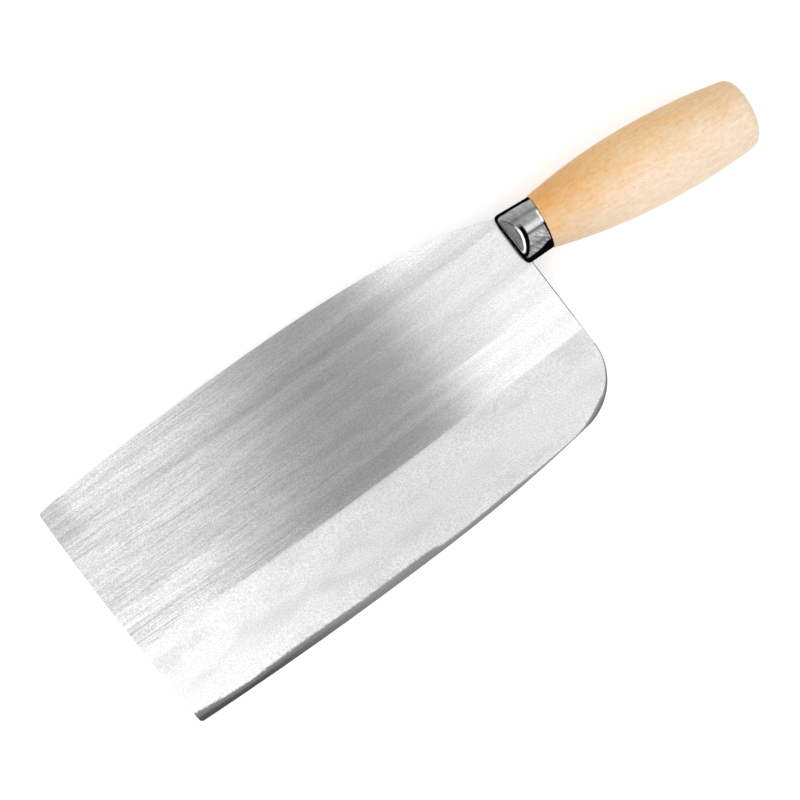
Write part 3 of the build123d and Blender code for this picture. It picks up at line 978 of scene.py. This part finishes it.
# The spigot follows the cup, whose axis leans a little from the handle's.
behind = add(lathe, "ShaderNodeMath", {0: point.outputs["X"], 1: 0.0}, operation="MINIMUM")
lean = add(lathe, "ShaderNodeMath", {0: behind, 1: given["Spigot Lean"]}, operation="MULTIPLY")
beside_bore = add(
    lathe,
    "ShaderNodeMapRange",
    {"Value": point.outputs["Y"], "From Min": BORE_RADIUS + 0.5, "From Max": BORE_RADIUS + 1.0},
)
lean = add(lathe, "ShaderNodeMath", {0: lean, 1: beside_bore}, operation="MULTIPLY")
spun = add(lathe, "ShaderNodeVectorMath", {0: round_it, "Scale": radius}, operation="SCALE")
offset = add(lathe, "ShaderNodeCombineXYZ", {"X": point.outputs["X"], "Y": lean})
spun = add(lathe, "ShaderNodeVectorMath", {0: spun, 1: offset}, operation="ADD")
body = add(lathe, "GeometryNodeSetPosition", {"Geometry": grid, "Position": spun})
body = add(lathe, "GeometryNodeMergeByDistance", {"Geometry": body, "Distance": 0.001})
body = add(lathe, "GeometryNodeSetShadeSmooth", {"Geometry": body, "Shade Smooth": True})
angle = add(lathe, "GeometryNodeInputMeshEdgeAngle").outputs["Unsigned Angle"]
sharp = add(
    lathe,
    "FunctionNodeCompare",
    {"A": angle, "B": 0.6},
    data_type="FLOAT",
    operation="GREATER_THAN",
)
body = add(
    lathe,
    "GeometryNodeSetShadeSmooth",
    {"Geometry": body, "Selection": sharp, "Shade Smooth": False},
    domain="EDGE",
)
body = add(lathe, "GeometryNodeRealizeInstances", {"Geometry": body})
body = add(lathe, "GeometryNodeSetMaterial", {"Geometry": body, "Material": given["Finish"]})
add(lathe, "NodeGroupOutput", {"Turned": body})


def turned(name, tree, place, values):
    """What a geometry tree makes of the template, as a plain mesh with its place in its points."""
    line = bpy.data.meshes.new(name + "_template")
    edges = [(i, i + 1) for i in range(len(template) - 1)]
    line.from_pydata([(x, y, 0) for x, y in template], edges, [])
    holder = bpy.data.objects.new(name + "_template", line)
    bpy.context.collection.objects.link(holder)
    modifier = holder.modifiers.new(name, "NODES")
    modifier.node_group = tree
    items = tree.interface.items_tree
    sockets = {item.name: item.identifier for item in items if item.in_out == "INPUT"}
    for key, value in values.items():
        modifier[sockets[key]] = value
    evaluated = holder.evaluated_get(bpy.context.evaluated_depsgraph_get())
    mesh = bpy.data.meshes.new_from_object(evaluated)
    mesh.transform(place @ Matrix.Scale(MM, 4))
    bpy.data.objects.remove(holder)
    piece = bpy.data.objects.new(name, mesh)
    bpy.context.collection.objects.link(piece)
    return piece


handle = turned(
    "turned_handle",
    lathe,
    handle_axis,
    {
        "Segments": 144,
        "Sanding Depth": 0.08,
        "Sanding Spacing": 15.0,
        "Spigot Lean": sin(radians(HANDLE_DROOP - CUP_DROOP)),
        "Seed": 4.0,
        "Finish": beech,
    },
)
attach(handle, "root")
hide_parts("handle_wood")

# --------------------------------------------------------------------------------------------------
# Washer. A punched steel washer, zinc plated and tumbled, let into the butt under the hammered end
# of the bar.
# --------------------------------------------------------------------------------------------------

# Steel, zinc plated and tumbled. The eye sees a bluish white metal with a faint spangle and small
# nicks.
zinc, tree, out = finish_of("zinc_plated_steel")
place = millimetres(tree, handle_axis)
spangle = add(tree, "ShaderNodeTexVoronoi", {"Vector": place, "Scale": 0.9}, feature="F1")
nicks = add(tree, "ShaderNodeTexNoise", {"Vector": place, "Scale": 2.5, "Detail": 4.0})
plated = add(
    tree,
    "ShaderNodeMix",
    {"Factor": spangle.outputs["Color"], "A": linear("#b4b6b9"), "B": linear("#d4d6d8")},
    **BLEND,
)
bump = add(tree, "ShaderNodeBump", {"Strength": 0.3, "Distance": 0.05 * MM, "Height": nicks})
shader = add(
    tree,
    "ShaderNodeBsdfPrincipled",
    {
        "Base Color": plated,
        "Metallic": 1.0,
        "Roughness": add(
            tree, "ShaderNodeMapRange", {0: nicks, 1: 0.3, 2: 0.7, 3: 0.28, 4: 0.45}, **SMOOTH
        ),
        "Normal": bump,
    },
)
tree.links.new(shader.outputs[0], out.inputs["Surface"])
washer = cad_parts["butt_washer"]
washer.material_slots[0].material = zinc

# --------------------------------------------------------------------------------------------------
# The table, the lamps and the camera.
# --------------------------------------------------------------------------------------------------

FLOOR_HALF = 3.0
PAPER = 0.85
LIFT_NEAR, LIFT_FAR = 0.42, 0.8
CEILING = 0.39
floor_mesh = bpy.data.meshes.new("studio_floor")
corners = [(x * FLOOR_HALF, y * FLOOR_HALF, 0) for x, y in ((-1, -1), (1, -1), (1, 1), (-1, 1))]
floor_mesh.from_pydata(corners, [], [(0, 1, 2, 3)])
floor = bpy.data.objects.new("studio_floor", floor_mesh)
bpy.context.collection.objects.link(floor)
# White paper, matt. To the eye it is one white, with the knife's soft shadow on it.
paper, tree, out = finish_of("white_paper")
ray = add(tree, "ShaderNodeLightPath").outputs
seen = add(
    tree, "ShaderNodeMath", {0: ray["Is Camera Ray"], 1: ray["Is Glossy Ray"]}, operation="MAXIMUM"
)
seen = add(tree, "ShaderNodeMath", {0: seen, 1: ray["Is Transmission Ray"]}, operation="MAXIMUM")
diffuse = add(tree, "ShaderNodeBsdfDiffuse", {"Color": (PAPER, PAPER, PAPER, 1)})

# Far out, where the lamps no longer reach, the paper is as white as it is under the knife.
out_by = add(
    tree,
    "ShaderNodeVectorMath",
    {0: add(tree, "ShaderNodeTexCoord").outputs["Object"]},
    operation="LENGTH",
)
lift = add(
    tree,
    "ShaderNodeMapRange",
    {0: out_by.outputs["Value"], 1: 0.5, 2: 2.2, 3: LIFT_NEAR, 4: LIFT_FAR},
    **SMOOTH,
)
lift = add(tree, "ShaderNodeMath", {0: seen, 1: lift}, operation="MULTIPLY")
glow = add(tree, "ShaderNodeEmission", {"Color": (1, 1, 1, 1), "Strength": lift})
both = add(tree, "ShaderNodeAddShader", {0: diffuse, 1: glow})
tree.links.new(both.outputs[0], out.inputs["Surface"])
floor.data.materials.append(paper)

world = bpy.data.worlds.new("studio")
bpy.context.scene.world = world
world.use_nodes = True
world.node_tree.nodes.clear()
tree = world.node_tree
ray = add(tree, "ShaderNodeLightPath").outputs
seen = add(
    tree, "ShaderNodeMath", {0: ray["Is Camera Ray"], 1: ray["Is Glossy Ray"]}, operation="MAXIMUM"
)
seen = add(tree, "ShaderNodeMath", {0: seen, 1: ray["Is Transmission Ray"]}, operation="MAXIMUM")

# The paper rises behind the table as a white backdrop. Higher up, the studio's ceiling is grey.
upward = add(
    tree, "ShaderNodeSeparateXYZ", {0: add(tree, "ShaderNodeTexCoord").outputs["Generated"]}
)
backdrop = add(tree, "ShaderNodeMapRange", {0: upward.outputs["Z"], 1: 0.5, 2: 0.3}, **SMOOTH)
seen = add(tree, "ShaderNodeMath", {0: seen, 1: backdrop}, operation="MULTIPLY")
level = add(tree, "ShaderNodeMix", {"Factor": seen, "A": CEILING, "B": 1.0})
sky = add(tree, "ShaderNodeBackground", {"Color": (1, 1, 1, 1), "Strength": level})
add(tree, "ShaderNodeOutputWorld", {"Surface": sky})


# The point of the blade that the camera looks at, and over which the lamps hang.
MIDDLE = Vector((-75.6, -51.6, 0)) * MM


def softbox(name, left, right, low, high, height, radiance, turn=0.0):
    """A rectangular lamp over the knife, placed in its frame, turned about its right side."""
    width, depth = right - left, high - low
    lamp = bpy.data.lights.new(name, "AREA")
    lamp.shape = "RECTANGLE"
    lamp.size, lamp.size_y = width, depth
    lamp.energy = radiance * pi * width * depth
    box = bpy.data.objects.new(name, lamp)
    bpy.context.collection.objects.link(box)
    corner = Matrix.Translation((right, MIDDLE.y, height)) @ Matrix.Rotation(turn, 4, "Z")
    centred = Matrix.Translation((-width / 2, (low + high) / 2 - MIDDLE.y, 0))
    box.matrix_world = knife @ corner @ centred
    box.visible_camera = False


# A lamp hides another at its own height from a polished surface, so each one hangs at its own.
softbox("front_softbox", -1.5, -0.265, -1.0, 0.35, 1.20, 0.56, -radians(14))
softbox("far_front_softbox", -1.5, -0.365, -1.0, 0.35, 1.24, 0.54, -radians(14))
softbox("handle_softbox", -0.01, 1.3, -0.75, 0.35, 1.22, 0.79)
softbox("heel_softbox", 0.0, 0.35, -0.6, 0.35, 1.26, 0.12)
softbox("key_softbox", -2.2, 1.1, -2.4, -0.5, 1.30, 1.0)
softbox("fill_softbox", -1.5, 0.9, 0.55, 1.8, 1.34, 0.7)

# The camera looks square at the blade, with the knife's length turned 37.5 degrees in the picture.
TURN = radians(37.5)
DISTANCE = 0.542
camera = bpy.data.cameras.new("camera")
camera.sensor_width = 36.0
camera.lens = 61.0
camera_object = bpy.data.objects.new("camera", camera)
bpy.context.collection.objects.link(camera_object)
seat = Matrix.Translation(MIDDLE + Vector((0, 0, DISTANCE))) @ Matrix.Rotation(-TURN, 4, "Z")
camera_object.matrix_world = knife @ seat
bpy.context.scene.camera = camera_object
bpy.context.scene.view_settings.view_transform = "Standard"
